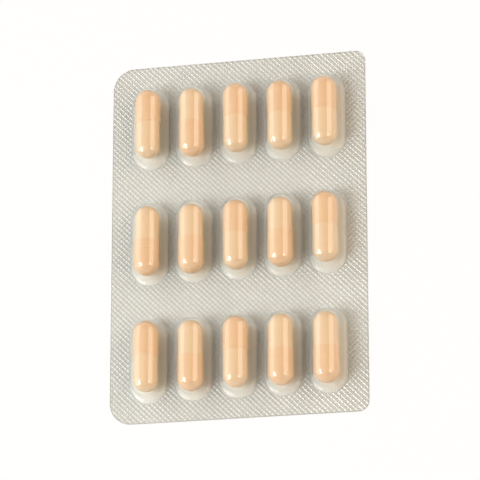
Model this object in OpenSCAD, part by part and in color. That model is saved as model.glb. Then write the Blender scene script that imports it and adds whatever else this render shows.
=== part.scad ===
// Blister pack of two-piece hard capsules, lying on its foil.
// Origin: middle of the card, on the underside of the foil.
// +X runs across the columns, +Y along the rows of capsules, +Z out of the foil.
// All lengths are in millimetres and all angles in degrees.

/* [Card] */
// Number of cavities across the card
columns = 5; // [1:1:6]
// Number of cavities along the card
rows = 3; // [1:1:3]
// Distance between two columns of cavities
column_pitch = 13.7; // [12:0.1:20]
// Distance between two rows of cavities
row_pitch = 36.6; // [28:0.1:50]
// Flat edge beside the outer columns
side_margin = 6.7; // [3:0.1:15]
// Flat edge above the top row
top_margin = 7.5; // [3:0.1:15]
// Flat edge below the bottom row
bottom_margin = 6.6; // [3:0.1:15]
// Radius of the two corners on the left
left_corner_r = 6.8; // [1:0.1:8]
// Radius of the two corners on the right
right_corner_r = 3.2; // [1:0.1:8]

/* [Film and foil] */
// Thickness of the clear film where it lies flat
film_t = 0.25; // [0.2:0.01:0.4]
// Thickness of the film where it is drawn into a cavity
cavity_wall = 0.2; // [0.1:0.01:0.3]
// Thickness of the lidding foil with its lacquer
foil_t = 0.05; // [0.04:0.01:0.2]
// Distance between two ridges of the sealing knurl
knurl_pitch = 1.22; // [1:0.01:3]
// Height of the ridges that the sealing knurl leaves in the film
knurl_height = 0.08; // [0.02:0.01:0.15]
// Height of the valleys between those ridges above the flat film
knurl_valley = 0.02; // [0.01:0.005:0.05]
// Flat rim around a cavity that the sealing knurl spares
knurl_rim = 0.4; // [0.2:0.05:1]

/* [Cavities] */
// Space between a capsule and the crown of its cavity, at each side
crown_gap = 0.45; // [0.35:0.05:1]
// Space between a capsule and each end of its cavity
end_gap = 0.75; // [0.6:0.05:2]
// Height of the crown's centre above the middle of the capsule
crown_lift = 0.25; // [0.1:0.05:1]
// Slope of the cavity's walls off the vertical
draft = 6; // [3:0.5:12]
// Radius where the cavity's wall runs out into the flat film
foot_r = 0.4; // [0.2:0.05:1]

/* [Capsules] */
// Outer diameter of the cap, the wider half
cap_d = 7.65; // [6:0.05:9]
// Length of the closed capsule
capsule_l = 21.7; // [17:0.1:26]
// Length of the cap from its tip to its rim
cap_l = 10.7; // [9:0.1:12]
// Wall thickness of both halves
shell_t = 0.11; // [0.08:0.01:0.15]
// Space between the body and the cap that slides over it
slide_gap = 0.045; // [0.02:0.005:0.1]
// Distance from the cap's rim to the ring that locks the halves
ring_offset = 2.8; // [2:0.1:3.5]
// Depth of the locking ring's groove
ring_depth = 0.06; // [0.03:0.01:0.1]
// Height of the powder above the capsule's middle
fill_level = 5; // [1:0.1:5.5]

/* [Hidden] */
$fn = 48;

// Space left between touching round faces, so that neighbours stay apart
contact_gap = 0.04;
// Depth by which the straight wall runs into the round crown, so that the two cross
crown_sink = 0.005;
// Radius of the tool that rolls the locking ring
ring_tool_r = 0.5;
// Steps that the small curve at a cavity's foot is drawn in
foot_steps = 4;
// Depth to which ridges and cavities reach into the film, so that they become one with it
overlap = 0.1;

// How the capsules came to lie, row by row from the top left: the end that the cap points to,
// the turn of each capsule about the vertical, and how far it has slid along its cavity
cap_at_top = [1, 0, 1, 1, 1, 0, 0, 1, 0, 1, 1, 0, 1, 0, 0];
turn = [0, 0.8, 0.4, 0.9, 0.8, -0.6, 0.4, 0.6, 0.6, 1, 0.6, 0.4, 0.2, 0.3, 0.9];
slid = [0.4, -0.1, 0.3, 0, 0.3, -0.2, -0.4, -0.2, -0.2, 0.4, 0.4, -0.1, 0.2, 0, -0.1];

cap_r = cap_d / 2;
body_r = cap_r - shell_t - slide_gap;
fill_r = body_r - shell_t - contact_gap;
cap_rim_z = capsule_l / 2 - cap_l;
ring_z = cap_rim_z + ring_offset;

film_z = foil_t;
web_top = film_z + film_t;
capsule_z = foil_t + contact_gap + cap_r;
crown_z = capsule_z + crown_lift;
inner_r = cap_r + crown_gap;
outer_r = inner_r + cavity_wall;
straight_l = capsule_l + 2 * end_gap - 2 * inner_r;

foot_x = foot_centre_x(outer_r, web_top, foot_r);
card_w = (columns - 1) * column_pitch + 2 * (foot_x + side_margin);
card_l = (rows - 1) * row_pitch + straight_l + 2 * foot_x + top_margin + bottom_margin;
top_row_y = card_l / 2 - top_margin - foot_x - straight_l / 2;
cavity_count = rows * columns;

function cavity_x(i) = (i % columns - (columns - 1) / 2) * column_pitch;
function cavity_y(i) = top_row_y - floor(i / columns) * row_pitch;
function pick(list, i) = list[i % len(list)];
function piece_name(i, piece) = str("capsule_", i < 9 ? "0" : "", i + 1, "_", piece);

// Where the centre of the foot's curve lies, for a wall tangent to a crown of radius r
function foot_centre_x(r, floor_z, curve_r) =
    (r + curve_r - (floor_z + curve_r - crown_z) * sin(draft)) / cos(draft);

// What rounding a corner takes away, for a corner that points to [side_x, side_y]
module corner_cut(side_x, side_y, r) {
    difference() {
        square(2 * r, center = true);
        translate([-side_x * r, -side_y * r]) circle(r);
    }
}

module card_outline() {
    difference() {
        square([card_w, card_l], center = true);
        for (side_y = [-1, 1]) {
            translate([-card_w / 2, side_y * card_l / 2]) corner_cut(-1, side_y, left_corner_r);
            translate([card_w / 2, side_y * card_l / 2]) corner_cut(1, side_y, right_corner_r);
        }
    }
}

// A strip with round ends, as wide as 2 * r, along the straight part of a cavity
module obround(r) {
    square([2 * r, straight_l], center = true);
    for (end = [-1, 1]) translate([0, end * straight_l / 2]) circle(r);
}

// Half of the section across a cavity: a round crown on a sloping wall with a curved foot
module cavity_section(crown_r, floor_z, curve_r, base_z) {
    foot = [foot_centre_x(crown_r, floor_z, curve_r), floor_z + curve_r];
    wall_r = crown_r - crown_sink;
    curve = [for (k = [0 : foot_steps])
        let (angle = 270 - k * (90 - draft) / foot_steps)
        foot + curve_r * [cos(angle), sin(angle)]];
    wall_top = [wall_r * cos(draft), crown_z + wall_r * sin(draft)];
    polygon(concat([[0, base_z], [foot[0], base_z]], curve, [wall_top, [0, wall_top[1]]]));
    intersection() {
        translate([0, crown_z]) circle(crown_r);
        translate([0, crown_z]) square(2 * crown_r);
    }
}

module cavity_form(crown_r, floor_z, curve_r, base_z) {
    rotate([90, 0, 0]) linear_extrude(height = straight_l, center = true) {
        cavity_section(crown_r, floor_z, curve_r, base_z);
        mirror([1, 0]) cavity_section(crown_r, floor_z, curve_r, base_z);
    }
    for (end = [0, 180])
        rotate([0, 0, end]) translate([0, straight_l / 2, 0])
            rotate_extrude(angle = 180) cavity_section(crown_r, floor_z, curve_r, base_z);
}

module at_cavity(i) {
    translate([cavity_x(i), cavity_y(i), 0]) children();
}

// Ridges that run down to the right, wherever the film is sealed to the foil
module sealing_knurl() {
    reach = ceil((card_w + card_l) / 2 / knurl_pitch);
    valley_z = web_top + knurl_valley;
    ridges = [for (k = [-reach : reach]) each
        [[k * knurl_pitch, valley_z], [(k + 0.5) * knurl_pitch, valley_z + knurl_height]]];
    low = [[ridges[len(ridges) - 1][0], web_top - overlap], [-reach * knurl_pitch, web_top - overlap]];
    intersection() {
        rotate([0, 0, 45]) rotate([90, 0, 0])
            linear_extrude(height = 2 * card_l, center = true) polygon(concat(ridges, low));
        linear_extrude(height = valley_z + 2 * knurl_height) difference() {
            card_outline();
            for (i = [0 : cavity_count - 1])
                translate([cavity_x(i), cavity_y(i)]) obround(foot_x + knurl_rim);
        }
    }
}

module forming_film() {
    color([0.86, 0.9, 0.92, 0.35]) difference() {
        union() {
            translate([0, 0, film_z]) linear_extrude(height = film_t) card_outline();
            sealing_knurl();
            for (i = [0 : cavity_count - 1])
                at_cavity(i) cavity_form(outer_r, web_top, foot_r, web_top - overlap);
        }
        for (i = [0 : cavity_count - 1])
            at_cavity(i) cavity_form(inner_r, film_z, foot_r + cavity_wall, film_z - overlap);
    }
}

module lidding_foil() {
    color([0.78, 0.77, 0.74]) linear_extrude(height = foil_t) card_outline();
}

// Half of a section along a round-ended barrel that reaches from the tip at tip_z to end_z
module barrel_section(r, tip_z, end_z) {
    way = tip_z > end_z ? 1 : -1;
    centre_z = tip_z - way * r;
    difference() {
        union() {
            translate([0, min(centre_z, end_z)]) square([r, abs(centre_z - end_z)]);
            intersection() {
                translate([0, centre_z]) circle(r);
                translate([0, way > 0 ? centre_z : centre_z - r]) square(r);
            }
        }
        translate([r + ring_tool_r - ring_depth, ring_z]) circle(ring_tool_r);
    }
}

module capsule_cap() {
    color([0.93, 0.75, 0.56]) rotate_extrude() difference() {
        barrel_section(cap_r, capsule_l / 2, cap_rim_z);
        barrel_section(cap_r - shell_t, capsule_l / 2 - shell_t, cap_rim_z - overlap);
    }
}

// The body's open end stops where the cap begins to close
module capsule_body() {
    rim_z = capsule_l / 2 - cap_r - slide_gap;
    bottom_z = -capsule_l / 2;
    color([0.94, 0.78, 0.6]) rotate_extrude() difference() {
        barrel_section(body_r, bottom_z, rim_z);
        barrel_section(body_r - shell_t, bottom_z + shell_t, rim_z + overlap);
    }
}

module capsule_fill() {
    color([0.93, 0.9, 0.82]) rotate_extrude()
        barrel_section(fill_r, -capsule_l / 2 + shell_t + contact_gap, fill_level);
}

// Lays a piece of capsule i, whose own axis stands upright, into its cavity
module laid(i) {
    at_cavity(i) translate([0, pick(slid, i), capsule_z])
        rotate([0, 0, pick(turn, i) + (pick(cap_at_top, i) == 1 ? 0 : 180)])
            rotate([-90, 0, 0]) children();
}

lidding_foil();
for (i = [0 : cavity_count - 1]) {
    laid(i) capsule_fill();
    laid(i) capsule_body();
    laid(i) capsule_cap();
}
forming_film();
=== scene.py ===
import math

import bmesh
import bpy
import numpy as np
from mathutils import Matrix, Vector


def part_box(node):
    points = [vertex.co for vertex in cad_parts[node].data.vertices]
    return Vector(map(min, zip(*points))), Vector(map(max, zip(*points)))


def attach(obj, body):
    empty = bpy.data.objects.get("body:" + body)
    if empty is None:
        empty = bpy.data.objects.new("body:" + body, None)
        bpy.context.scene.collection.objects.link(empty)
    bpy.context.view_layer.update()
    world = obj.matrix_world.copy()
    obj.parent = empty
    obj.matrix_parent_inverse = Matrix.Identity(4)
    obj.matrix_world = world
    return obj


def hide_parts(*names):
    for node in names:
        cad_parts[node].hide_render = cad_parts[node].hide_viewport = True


# A blister pack of fifteen capsules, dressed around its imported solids. The card lies on its
# foil: +X runs across the columns, +Y along the capsules and +Z out of the foil. Shapes are
# worked out in millimetres and become metres as they are put into a mesh.

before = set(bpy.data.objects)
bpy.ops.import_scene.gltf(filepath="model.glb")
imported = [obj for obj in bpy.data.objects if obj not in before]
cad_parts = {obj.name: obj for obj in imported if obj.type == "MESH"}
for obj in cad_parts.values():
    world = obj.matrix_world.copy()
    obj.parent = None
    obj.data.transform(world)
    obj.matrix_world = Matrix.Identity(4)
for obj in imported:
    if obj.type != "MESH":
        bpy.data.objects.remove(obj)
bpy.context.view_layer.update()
MM = 0.001

# Sizes, as in the part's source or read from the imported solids

foil_low, foil_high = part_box("lidding_foil")
card_w = (foil_high.x - foil_low.x) / MM
card_l = (foil_high.y - foil_low.y) / MM
foil_t = foil_high.z / MM
left_corner_r, right_corner_r = 6.8, 3.2

columns, rows = 5, 3
column_pitch, row_pitch = 13.7, 36.6
top_margin = 7.5

film_t = 0.25
cavity_wall = 0.2
crown_gap, end_gap, crown_lift = 0.45, 0.75, 0.25
draft = math.radians(6)
foot_r = 0.4

knurl_pitch, knurl_rim, knurl_fade = 1.18, 0.4, 0.35
ridge_w, ridge_h, cross_ridge_h = 0.42, 0.095, 0.1

cap_d, capsule_l, cap_l = 7.65, 21.7, 10.7
shell_t, slide_gap = 0.11, 0.045
ring_offset, ring_depth, ring_w = 2.8, 0.06, 0.5
contact_gap = 0.04
film_clearance = 0.02
deep_inside = 10.0

cap_r = cap_d / 2
body_r = cap_r - shell_t - slide_gap
web_top = foil_t + film_t
capsule_z = foil_t + contact_gap + cap_r
crown_z = capsule_z + crown_lift
inner_r = cap_r + crown_gap
outer_r = inner_r + cavity_wall
straight_l = capsule_l + 2 * end_gap - 2 * inner_r


def foot_centre_x(r, floor_z, curve_r):
    """Where the centre of the foot's curve lies, for a drafted wall tangent to a crown of radius r."""
    return (r + curve_r - (floor_z + curve_r - crown_z) * math.sin(draft)) / math.cos(draft)


foot_x = foot_centre_x(outer_r, web_top, foot_r)
rim_r = foot_x + knurl_rim
top_row_y = card_l / 2 - top_margin - foot_x - straight_l / 2
cavities = np.arange(rows * columns)
cavity_xy = np.stack([(cavities % columns - (columns - 1) / 2) * column_pitch,
                      top_row_y - (cavities // columns) * row_pitch], axis=1)

# How each capsule lies, row by row from the top left: cap up, turn in degrees, slide
cap_at_top = [1, 0, 1, 1, 1, 0, 0, 1, 0, 1, 1, 0, 1, 0, 0]
turn = [0, 0.8, 0.4, 0.9, 0.8, -0.6, 0.4, 0.6, 0.6, 1, 0.6, 0.4, 0.2, 0.3, 0.9]
slid = [0.4, -0.1, 0.3, 0, 0.3, -0.2, -0.4, -0.2, -0.2, 0.4, 0.4, -0.1, 0.2, 0, -0.1]

# Camera, at the photograph's angle and distance

view_from = Vector((0.22, -0.30, 0.928)).normalized()
camera_distance = 0.932
lens, sensor_w = 233.0, 36.0
aim_right, aim_up = 0.446 * MM, -1.073 * MM

picture_up = (Vector((0, 1, 0)) - view_from * view_from.y).normalized()
picture_right = picture_up.cross(view_from)
aim = aim_right * picture_right + aim_up * picture_up
camera_data = bpy.data.cameras.new("camera")
camera_data.lens = lens
camera_data.sensor_width = sensor_w
camera = bpy.data.objects.new("camera", camera_data)
camera.matrix_world = Matrix.Translation(aim + view_from * camera_distance) @ Matrix(
    (picture_right, picture_up, view_from)).transposed().to_4x4()
bpy.context.scene.collection.objects.link(camera)
bpy.context.scene.camera = camera


# Shader nodes

class Wire:
    """A number that a node gives. Sums, differences, products, quotients and powers add Math nodes."""

    def __init__(self, finish, socket):
        self.finish = finish
        self.socket = socket

    def maths(self, operation, first, second):
        return self.finish.node("ShaderNodeMath", {"operation": operation}, {0: first, 1: second})

    def __add__(self, other):
        return self.maths("ADD", self, other)

    def __radd__(self, other):
        return self.maths("ADD", other, self)

    def __sub__(self, other):
        return self.maths("SUBTRACT", self, other)

    def __rsub__(self, other):
        return self.maths("SUBTRACT", other, self)

    def __mul__(self, other):
        return self.maths("MULTIPLY", self, other)

    def __rmul__(self, other):
        return self.maths("MULTIPLY", other, self)

    def __truediv__(self, other):
        return self.maths("DIVIDE", self, other)

    def __rtruediv__(self, other):
        return self.maths("DIVIDE", other, self)

    def __pow__(self, other):
        return self.maths("POWER", self, other)

    def __rpow__(self, other):
        return self.maths("POWER", other, self)


class Finish:
    """The nodes of a material or a world. Every node comes from one call of node."""

    def __init__(self, owner):
        self.owner = owner
        owner.use_nodes = True
        self.tree = owner.node_tree
        self.tree.nodes.clear()

    def node(self, kind, settings=None, sockets=None, give=0):
        """Adds a node, makes its settings, fills its sockets with values or wires, and gives one output."""
        made = self.tree.nodes.new(kind)
        for name, value in (settings or {}).items():
            setattr(made, name, value)
        for key, value in (sockets or {}).items():
            if isinstance(value, Wire):
                self.tree.links.new(value.socket, made.inputs[key])
            else:
                made.inputs[key].default_value = value
        return Wire(self, made.outputs[give]) if made.outputs else None

    def place(self, stretch=(1, 1, 1), turned=(0, 0, 0)):
        """The point of the surface in the row frame, turned and then stretched, in metres."""
        point = self.node("ShaderNodeTexCoord", give="Object")
        return self.node("ShaderNodeMapping", None,
                         {"Vector": point, "Rotation": turned, "Scale": stretch})

    def noise(self, point, size, detail=2.0, rough=0.5):
        """Smooth noise from 0 to 1 whose spots measure about size millimetres."""
        return self.node("ShaderNodeTexNoise", None, {
            "Vector": point, "Scale": 1 / (size * MM), "Detail": detail, "Roughness": rough})

    def spread(self, value, low, high):
        """Carries low to 0 and high to 1, and holds past both ends."""
        return self.node("ShaderNodeMapRange", {"clamp": True}, {
            "Value": value, "From Min": low, "From Max": high})

    def painted(self, name):
        """A number that the mesh carries at each of its points."""
        return self.node("ShaderNodeAttribute", {"attribute_name": name}, give="Fac")

    def blend(self, factor, first, second):
        """The colour first where factor is 0 and second where it is 1."""
        return self.node("ShaderNodeMix", {"data_type": "RGBA"},
                         {0: factor, 6: first, 7: second}, give=2)

    def bump(self, height, strength, depth):
        """The surface's normal, bent by a height that is worth depth millimetres at 1."""
        return self.node("ShaderNodeBump", None, {
            "Height": height, "Strength": strength, "Distance": depth * MM})

    def show(self, surface):
        """Sends a shader to the output."""
        kind = "World" if isinstance(self.owner, bpy.types.World) else "Material"
        self.node("ShaderNodeOutput" + kind, None, {"Surface": surface})
        return self.owner


def srgb(red, green, blue):
    """The colour that a screen shows as these three bytes, as Blender's linear values."""
    screen = np.array([red, green, blue]) / 255
    linear = np.where(screen <= 0.04045, screen / 12.92, ((screen + 0.055) / 1.055) ** 2.4)
    return (*linear.tolist(), 1.0)


def foil_finish():
    """Satin aluminium with a dull lacquer: fine grain from the rolls, broad cloudy patches, smooth pads
    under the cavities whose paler colour is painted light, standing in for the light the domes gather onto
    them, and a darker cut edge."""
    f = Finish(bpy.data.materials.new("satin_aluminium_foil"))
    clouds = f.noise(f.place(), 22, 3.0)
    grain = f.noise(f.place(stretch=(1, 0.12, 1)), 0.35, 2.0)
    cut = f.spread(f.painted("from_edge"), 0.0, 0.5)
    sealed = f.painted("sealed")
    metal = f.blend(f.spread(clouds, 0.3, 0.7), srgb(209, 214, 211), srgb(219, 223, 220))
    metal = f.blend(0.25 * grain, metal, srgb(186, 185, 176))
    # Painted light: the pads under the cavities are smooth unembossed foil, drawn paler than the rest to
    # stand in for the light that the domes gather onto them.
    metal = f.blend(sealed, srgb(236, 241, 238), metal)
    metal = f.blend(cut, srgb(190, 188, 184), metal)
    shader = f.node("ShaderNodeBsdfPrincipled", None, {
        "Base Color": metal,
        "Metallic": 0.65,
        "Roughness": 0.5 + 0.06 * grain,
        "Normal": f.bump(grain, 0.3, 0.01)})
    return f.show(shader)


def film_finish(name, haze, gloss, ripple, ripple_size):
    """Clear PVC film. Of the light that meets it, it mirrors 0.045 + 0.6 facing^5, where facing is 0 face on
    and 1 along the surface, it scatters the haze, and it lets the rest through."""
    f = Finish(bpy.data.materials.new(name))
    waves = f.noise(f.place(stretch=(1, 0.2, 1)), ripple_size, 2.0)
    normal = f.bump(waves, 1.0, ripple)
    facing = f.node("ShaderNodeLayerWeight", None, {"Blend": 0.5, "Normal": normal}, give="Facing")
    mirrored = 0.045 + 0.6 * facing ** 5
    cloudy = haze * (0.6 + 0.8 * waves)
    shown = mirrored + cloudy
    shader = f.node("ShaderNodeBsdfPrincipled", None, {
        "Base Color": f.blend(waves, srgb(250, 250, 246), srgb(240, 241, 238)),
        "Metallic": mirrored / shown,
        "Roughness": gloss + 0.5 * gloss * waves,
        "Alpha": shown,
        "Normal": normal})
    return f.show(shader)


def shell_finish(name, light, dark):
    """A capsule's gelatin shell: pearly and opaque, with faint streaks along its axis and fine speckle."""
    f = Finish(bpy.data.materials.new(name))
    streaks = f.noise(f.place(stretch=(1, 0.06, 1)), 1.2, 2.0)
    speckle = f.noise(f.place(), 0.18, 1.0)
    tone = f.blend(f.spread(streaks, 0.3, 0.7), light, dark)
    tone = f.blend(0.12 * speckle, tone, srgb(255, 236, 206))
    shader = f.node("ShaderNodeBsdfPrincipled", None, {
        "Base Color": tone,
        "Roughness": 0.4 + 0.1 * streaks,
        "Coat Weight": 0.17,
        "Coat Roughness": 0.14,
        "Normal": f.bump(speckle, 0.25, 0.004)})
    return f.show(shader)


def powder_finish():
    """Pressed cream powder: grains of two sizes that roughen it and mottle its colour."""
    f = Finish(bpy.data.materials.new("cream_powder"))
    grains = f.noise(f.place(), 0.25, 3.0)
    lumps = f.noise(f.place(), 1.5, 2.0)
    shader = f.node("ShaderNodeBsdfPrincipled", None, {
        "Base Color": f.blend(0.5 * grains + 0.5 * lumps, srgb(236, 226, 205), srgb(215, 200, 172)),
        "Roughness": 0.85 + 0.1 * grains,
        "Normal": f.bump(grains + lumps, 0.8, 0.05)})
    return f.show(shader)


# Meshes

def put(name, points, quads, triangles=(), flat_quads=0, flat_triangles=False, values=None):
    """A mesh object of points in millimetres. The last flat_quads quads, and the triangles if asked,
    are shaded flat; values are numbers that the points carry."""
    quads = np.asarray(quads, np.int32).reshape(-1, 4)
    triangles = np.asarray(triangles, np.int32).reshape(-1, 3)
    mesh = bpy.data.meshes.new(name)
    mesh.vertices.add(len(points))
    mesh.vertices.foreach_set("co", (np.asarray(points, float) * MM).astype(np.float32).ravel())
    mesh.loops.add(quads.size + triangles.size)
    mesh.loops.foreach_set("vertex_index", np.concatenate([quads.ravel(), triangles.ravel()]))
    mesh.polygons.add(len(quads) + len(triangles))
    mesh.polygons.foreach_set("loop_start", np.concatenate([
        4 * np.arange(len(quads)), quads.size + 3 * np.arange(len(triangles))]).astype(np.int32))
    smooth = np.ones(len(quads) + len(triangles), bool)
    smooth[len(quads) - flat_quads:len(quads)] = False
    smooth[len(quads):] = not flat_triangles
    mesh.polygons.foreach_set("use_smooth", smooth)
    for key, numbers in (values or {}).items():
        layer = mesh.attributes.new(key, "FLOAT", "POINT")
        layer.data.foreach_set("value", np.asarray(numbers, np.float32))
    mesh.update(calc_edges=True)
    made = bpy.data.objects.new(name, mesh)
    bpy.context.scene.collection.objects.link(made)
    return made


def close_seams(piece):
    """Joins the points of a piece that lie on each other, which closes its seams and poles."""
    shape = bmesh.new()
    shape.from_mesh(piece.data)
    bmesh.ops.remove_doubles(shape, verts=shape.verts, dist=1e-3 * MM)
    shape.to_mesh(piece.data)
    shape.free()


def grid_quads(along, across, closed=True):
    """The quads of a grid of points, numbered along first: each row of across points joins the next,
    and the last row joins the first one if the grid is closed."""
    i = np.arange(along if closed else along - 1)[:, None]
    j = np.arange(across - 1)[None, :]
    following = (i + 1) % along
    return np.stack([i * across + j, following * across + j,
                     following * across + j + 1, i * across + j + 1], axis=-1).reshape(-1, 4)


# The sealed web: a lattice that follows the two families of ridges

def ridge_lines(reach, height):
    """Across one family of ridges, three lines a pitch: foot, crest and foot, with their heights."""
    ridges = np.arange(-math.ceil(reach / knurl_pitch), math.ceil(reach / knurl_pitch) + 1)
    across = ridges[:, None] * knurl_pitch + np.array([-0.5, 0, 0.5]) * ridge_w
    return across.ravel(), np.tile([0, height, 0], len(ridges))


def card_distance(xy):
    """Distance from the card's outline, negative inside. With q = |p| - half size + r it is the rounded
    rectangle's max(q, 0) length + min(max(qx, qy), 0) - r, where r is each side's own corner radius."""
    r = np.where(xy[:, 0] < 0, left_corner_r, right_corner_r)
    q = np.abs(xy) - np.array([card_w, card_l]) / 2 + r[:, None]
    return np.hypot(*np.maximum(q, 0).T) + np.minimum(q.max(axis=1), 0) - r


def spine_offset(xy):
    """The number of the nearest cavity, and the way to each point from that cavity's spine, which is
    the straight line from one of its ends' centres to the other."""
    away = xy[:, None, :] - cavity_xy[None, :, :]
    away[:, :, 1] -= np.clip(away[:, :, 1], -straight_l / 2, straight_l / 2)
    nearest = np.argmin(np.hypot(away[..., 0], away[..., 1]), axis=1)
    return nearest, away[np.arange(len(xy)), nearest]


def steepest(distance, xy, step=1e-3):
    """The way in which a distance grows, from its differences over a small step."""
    grown = np.stack([distance(xy + np.array(way) * step) - distance(xy - np.array(way) * step)
                      for way in ((1, 0), (0, 1))], axis=1)
    return grown / np.maximum(np.hypot(*grown.T), 1e-12)[:, None]


def sealed_lattice():
    """The web between the card's outline and the cavities' rims. Its points lie where the ridges' lines
    cross: x = (a + b) / sqrt 2 and y = (a - b) / sqrt 2, with a across the main ridges, which run down
    to the right, and b across the others. A quad is kept if any corner is inside, and its corners that
    are outside move to the nearest point of the outline or rim. A point's relief is the higher of its
    two ridges, and fades out beside the rims."""
    reach = (card_w + card_l) / 2 / math.sqrt(2)
    a, a_relief = ridge_lines(reach, ridge_h)
    b, b_relief = ridge_lines(reach, cross_ridge_h)
    a_all, b_all = np.meshgrid(a, b, indexing="ij")
    xy = np.stack([a_all + b_all, a_all - b_all], axis=-1).reshape(-1, 2) / math.sqrt(2)
    relief = np.maximum(a_relief[:, None], b_relief[None, :]).ravel()
    quads = grid_quads(len(a), len(b), closed=False)

    outside_card = card_distance(xy)
    nearest, away = spine_offset(xy)
    outside_rim = rim_r - np.hypot(*away.T)
    inside = (outside_card < 0) & (outside_rim < 0)
    quads = quads[inside[quads].any(axis=1)]

    over = outside_card > 0
    xy[over] -= outside_card[over, None] * steepest(card_distance, xy[over])
    fallen = outside_rim > 0
    xy[fallen] = (xy + away * (outside_rim / np.maximum(rim_r - outside_rim, 1e-9))[:, None])[fallen]
    relief = relief * np.clip(-outside_rim / knurl_fade, 0, 1)

    used = np.unique(quads)
    number = np.zeros(len(xy), int)
    number[used] = np.arange(len(used))
    return {"xy": xy[used], "relief": relief[used], "quads": number[quads][:, ::-1],
            "from_edge": -card_distance(xy[used]), "cavity": nearest[used],
            "on_rim": fallen[used] & ~over[used]}


def border(quads, size):
    """The edges that only one quad has, each as (from, to) in that quad's own turn."""
    edges = np.stack([quads, np.roll(quads, -1, axis=1)], axis=-1).reshape(-1, 2)
    there = edges[:, 0] * size + edges[:, 1]
    back = edges[:, 1] * size + edges[:, 0]
    return edges[~np.isin(there, back)]


def plate(name, web, low_z, high_z, fill_cavities):
    """A closed sheet on the lattice: the relief lifted by high_z, the same turned over at low_z, and walls
    between them along the border. Where the cavities are filled, each rim closes with flat triangles
    from its edges to the cavity's centre instead of a wall. Every face is shaded flat, so that the
    ridges' flanks catch the light apart."""
    size = len(web["xy"])
    edges = border(web["quads"], size)
    rim = web["on_rim"][edges].all(axis=1) & bool(fill_cavities)
    walls = edges[~rim][:, ::-1]
    walls = np.concatenate([walls, walls[:, ::-1] + size], axis=1)
    top = np.column_stack([web["xy"], web["relief"] + high_z])
    bottom = np.column_stack([web["xy"], web["relief"] + low_z])
    points = [top, bottom]
    from_edge = [web["from_edge"]] * 2
    sealed = [np.where(web["on_rim"], 0, 1)] * 2
    triangles = np.zeros((0, 3), int)
    if fill_cavities:
        here = edges[rim]
        centre = 2 * size + web["cavity"][here[:, 0]]
        upper = np.column_stack([here[:, 1], here[:, 0], centre])
        lower = np.column_stack([here[:, 0] + size, here[:, 1] + size, centre + len(cavity_xy)])
        triangles = np.concatenate([upper, lower])
        for z in (high_z, low_z):
            points.append(np.column_stack([cavity_xy, np.full(len(cavity_xy), z)]))
            from_edge.append(np.full(len(cavity_xy), deep_inside))
            sealed.append(np.zeros(len(cavity_xy)))
    quads = np.concatenate([web["quads"], web["quads"][:, ::-1] + size, walls])
    return put(name, np.concatenate(points), quads, triangles, flat_quads=len(quads),
               flat_triangles=True, values={"from_edge": np.concatenate(from_edge),
                                            "sealed": np.concatenate(sealed)})


# The cavities

def obround_path(arc_steps, straight_steps):
    """The turn about a cavity: outward angles, and where along the spine each of them starts."""
    arc = np.linspace(0, math.pi, arc_steps + 1)
    run = np.linspace(straight_l / 2, -straight_l / 2, straight_steps + 1)[1:-1]
    ends = np.full(len(arc), straight_l / 2)
    angle = np.concatenate([arc, np.full(len(run), math.pi), math.pi + arc, np.zeros(len(run))])
    along = np.concatenate([ends, run, -ends, run[::-1]])
    return angle, along


def cavity_line(crown_r, floor_z, curve_r, crown_steps, foot_steps):
    """Half of the section across a cavity, from its top outwards: an arc of crown_r, the drafted wall, and
    the foot's curve down to floor_z. Columns are the distance from the spine and the height."""
    crown = np.linspace(math.pi / 2, draft, crown_steps + 1)
    foot = np.linspace(math.pi + draft, 1.5 * math.pi, foot_steps + 1)
    centre = foot_centre_x(crown_r, floor_z, curve_r)
    return np.concatenate([
        np.column_stack([crown_r * np.cos(crown), crown_z + crown_r * np.sin(crown)]),
        np.column_stack([centre + curve_r * np.cos(foot), floor_z + curve_r + curve_r * np.sin(foot)])])


def cavity_shells(name, arc_steps=22, straight_steps=4):
    """All cavities as closed shells: the outer section runs down to the rim, and the inner one back up.
    The section is carried round the obround: x = s cos angle, y = along + s sin angle."""
    outer = cavity_line(outer_r, web_top, foot_r, crown_steps=15, foot_steps=6)
    inner = cavity_line(inner_r, foil_t + film_clearance, foot_r + cavity_wall,
                        crown_steps=13, foot_steps=5)
    edge = rim_r - film_clearance
    section = np.concatenate([outer, [[edge, web_top], [edge, foil_t + film_clearance]], inner[::-1]])
    section[[0, -1], 0] = 0
    angle, along = obround_path(arc_steps, straight_steps)
    s, z = section.T
    x = s[None, :] * np.cos(angle)[:, None]
    y = along[:, None] + s[None, :] * np.sin(angle)[:, None]
    one = np.stack([x, y, np.broadcast_to(z, x.shape)], axis=-1).reshape(-1, 3)
    quads = grid_quads(len(angle), len(section))
    shift = np.column_stack([cavity_xy, np.zeros(len(cavity_xy))])
    points = (one[None] + shift[:, None]).reshape(-1, 3)
    all_quads = (quads[None] + len(one) * cavities[:, None, None]).reshape(-1, 4)
    made = put(name, points, all_quads[:, ::-1])
    close_seams(made)
    return made


# The capsules

def ringed(z):
    """How far the locking ring's groove lies under the surface: ring_depth cos^2, across ring_w."""
    ring_z = capsule_l / 2 - cap_l + ring_offset
    across = np.clip((z - ring_z) / ring_w, -0.5, 0.5)
    return ring_depth * np.cos(math.pi * across) ** 2


def half_line(r, tip_z, end_z, steps, ringed_steps):
    """A half's side from the round tip to its open end: s = r sin t and z = tip - r + r cos t over a quarter
    turn, then straight, with the locking ring's groove."""
    way = 1 if tip_z > end_z else -1
    t = np.linspace(0, math.pi / 2, steps + 1)
    straight = np.linspace(tip_z - way * r, end_z, ringed_steps + 1)[1:]
    s = np.concatenate([r * np.sin(t), np.full(len(straight), r)])
    z = np.concatenate([tip_z - way * r * (1 - np.cos(t)), straight])
    return np.column_stack([s - np.where(s > 0.99 * r, ringed(z), 0), z])


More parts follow.
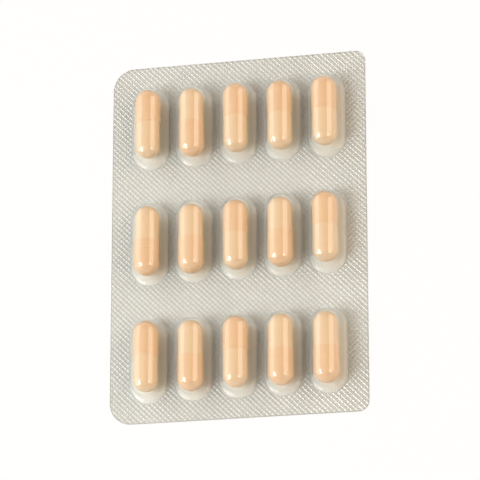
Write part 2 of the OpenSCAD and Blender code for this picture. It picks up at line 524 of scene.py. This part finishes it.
def capsule_half(name, i, r, tip_z, end_z, around=56):
    """One half of capsule i: its section, outside from the tip to the rounded rim and back inside, turned
    about its own axis, then laid down with its axis along +Y and put into its cavity."""
    way = 1 if tip_z > end_z else -1
    lip_r = shell_t / 2
    outside = half_line(r, tip_z, end_z + way * lip_r, steps=12, ringed_steps=40)
    inside = half_line(r - shell_t, tip_z - way * shell_t, end_z + way * lip_r,
                       steps=8, ringed_steps=24)
    lip = np.linspace(0, math.pi, 5)[1:-1]
    rim = np.column_stack([r - lip_r + lip_r * np.cos(lip),
                           end_z + way * lip_r * (1 - np.sin(lip))])
    section = np.concatenate([outside, rim, inside[::-1]])
    angle = 2 * math.pi * np.arange(around) / around
    s, z = section.T
    own = np.stack([s[None] * np.cos(angle)[:, None], s[None] * np.sin(angle)[:, None],
                    np.broadcast_to(z, (around, len(z)))], axis=-1).reshape(-1, 3)
    laid = own[:, [0, 2, 1]] * np.array([1, 1, -1])
    way_round = math.radians(turn[i] + (0 if cap_at_top[i] else 180))
    c, n = math.cos(way_round), math.sin(way_round)
    x, y = laid[:, 0] * c - laid[:, 1] * n, laid[:, 0] * n + laid[:, 1] * c
    points = np.column_stack([x + cavity_xy[i, 0], y + cavity_xy[i, 1] + slid[i],
                              laid[:, 2] + capsule_z])
    quads = grid_quads(around, len(section))
    made = put(name, points, quads if way < 0 else quads[:, ::-1])
    close_seams(made)
    return made


web = sealed_lattice()
foil = plate("foil", web, 0.0, foil_t, fill_cavities=True)
foil.data.materials.append(foil_finish())
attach(foil, "root")
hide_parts("lidding_foil")

film_web = plate("film_web", web, foil_t + film_clearance, web_top, fill_cavities=False)
film_web.data.materials.append(
    film_finish("clear_web_film", haze=0.02, gloss=0.36, ripple=0.004, ripple_size=1.5))
film_cavities = cavity_shells("film_cavities")
film_cavities.data.materials.append(
    film_finish("clear_drawn_film", haze=0.015, gloss=0.07, ripple=0.02, ripple_size=4.0))
for piece in (film_web, film_cavities):
    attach(piece, "root")
    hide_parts("forming_film")

cap_shell = shell_finish("apricot_cap_shell", srgb(247, 212, 167), srgb(245, 205, 158))
body_shell = shell_finish("apricot_body_shell", srgb(247, 221, 181), srgb(246, 215, 172))
powder = powder_finish()
for i in cavities:
    number = f"{i + 1:02d}"
    cap = capsule_half(f"cap_{number}", i, cap_r, capsule_l / 2, capsule_l / 2 - cap_l)
    cap.data.materials.append(cap_shell)
    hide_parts(f"capsule_{number}_cap")
    body = capsule_half(f"body_{number}", i, body_r, -capsule_l / 2, capsule_l / 2 - cap_r - slide_gap)
    body.data.materials.append(body_shell)
    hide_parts(f"capsule_{number}_body")
    for piece in (cap, body):
        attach(piece, "root")
    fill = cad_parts[f"capsule_{number}_fill"]
    fill.data.materials.clear()
    fill.data.materials.append(powder)


# Floor, surroundings and lamps

def seen(f):
    """1 for a ray from the camera, a mirror or a clear surface, which sees the white background."""
    camera_ray, glossy_ray, clear_ray = [
        f.node("ShaderNodeLightPath", give=f"Is {ray} Ray") for ray in ("Camera", "Glossy", "Transmission")]
    return f.spread(camera_ray + glossy_ray + clear_ray, 0.0, 1.0)


def white_world(ambient, ceiling):
    """A soft even warm light of strength ambient on everything. Where it is seen, it is white near the
    horizon, and higher up a dim warm ceiling that is darker toward the right."""
    f = Finish(bpy.data.worlds.new("white_studio"))
    way = f.node("ShaderNodeTexCoord", give="Generated")
    height = f.node("ShaderNodeSeparateXYZ", None, {0: way}, give="Z")
    rightward = f.node("ShaderNodeSeparateXYZ", None, {0: way}, give="X")
    overhead = f.spread(height, 0.25, 0.6)
    shown = 1 + (ceiling * (1 - 0.8 * rightward) - 1) * overhead
    sight = seen(f)
    tint = f.blend(f.spread(shown, ceiling, 1.0), srgb(255, 244, 231), (1, 1, 1, 1))
    background = f.node("ShaderNodeBackground", None, {
        "Color": f.blend(sight, srgb(255, 219, 188), tint),
        "Strength": ambient * (1 - sight) + shown * sight})
    return f.show(background)


def floor_finish(kept):
    """White paper. Where it is seen it glows white, but for the share kept, which shows its shadows."""
    f = Finish(bpy.data.materials.new("white_paper"))
    paper = f.blend(f.noise(f.place(), 3, 2.0), srgb(238, 238, 236), srgb(233, 233, 231))
    matte = f.node("ShaderNodeBsdfDiffuse", None, {"Color": paper})
    glow = f.node("ShaderNodeEmission", None, {"Color": (1, 1, 1, 1), "Strength": 1.03})
    return f.show(f.node("ShaderNodeMixShader", None, {0: (1 - kept) * seen(f), 1: matte, 2: glow}))


def softbox(name, direction, distance, width, length, radiance, tint=(255, 255, 255)):
    """A lamp that faces the card from a direction, with its length along the capsules as seen
    from the card. Its power is radiance x pi x area."""
    lamp = bpy.data.lights.new(name, "AREA")
    lamp.shape = "RECTANGLE"
    lamp.size = width
    lamp.size_y = length
    lamp.energy = radiance * math.pi * width * length
    lamp.color = srgb(*tint)[:3]
    way = Vector(direction).normalized()
    long_way = (Vector((0, 1, 0)) - way * way.y).normalized()
    made = bpy.data.objects.new(name, lamp)
    made.matrix_world = Matrix.Translation(way * distance) @ Matrix(
        (long_way.cross(way), long_way, way)).transposed().to_4x4()
    made.visible_camera = False
    bpy.context.scene.collection.objects.link(made)
    return made


floor_half = 1500
floor_drop = 0.05
floor_points = np.array([[-1, -1, 0], [1, -1, 0], [1, 1, 0], [-1, 1, 0]]) * floor_half
floor = put("floor", floor_points - np.array([0, 0, floor_drop]), [[0, 1, 2, 3]])
floor.data.materials.append(floor_finish(kept=0.15))

bpy.context.scene.world = white_world(ambient=0.28, ceiling=0.4)

# The key stands to the left and in front, and its heart and the side light's give the glints at the
# capsules' lower ends. The left wall and the side light give the long strips along them.
softbox("key", (-0.58, -0.31, 0.75), 1.1, 0.33, 0.6, 8.8)
softbox("key_heart", (-0.80, -0.38, 0.46), 2.0, 0.25, 0.5, 8.0)
softbox("left_wall", (-0.80, 0.25, 0.54), 2.0, 1.2, 2.6, 1.35)
softbox("side_light", (0.79, 0.12, 0.60), 1.2, 0.75, 1.56, 2.3, tint=(255, 236, 216))
softbox("side_heart", (0.68, -0.30, 0.68), 2.0, 0.3, 0.5, 4.5, tint=(255, 244, 230))

bpy.context.scene.view_settings.view_transform = "Standard"
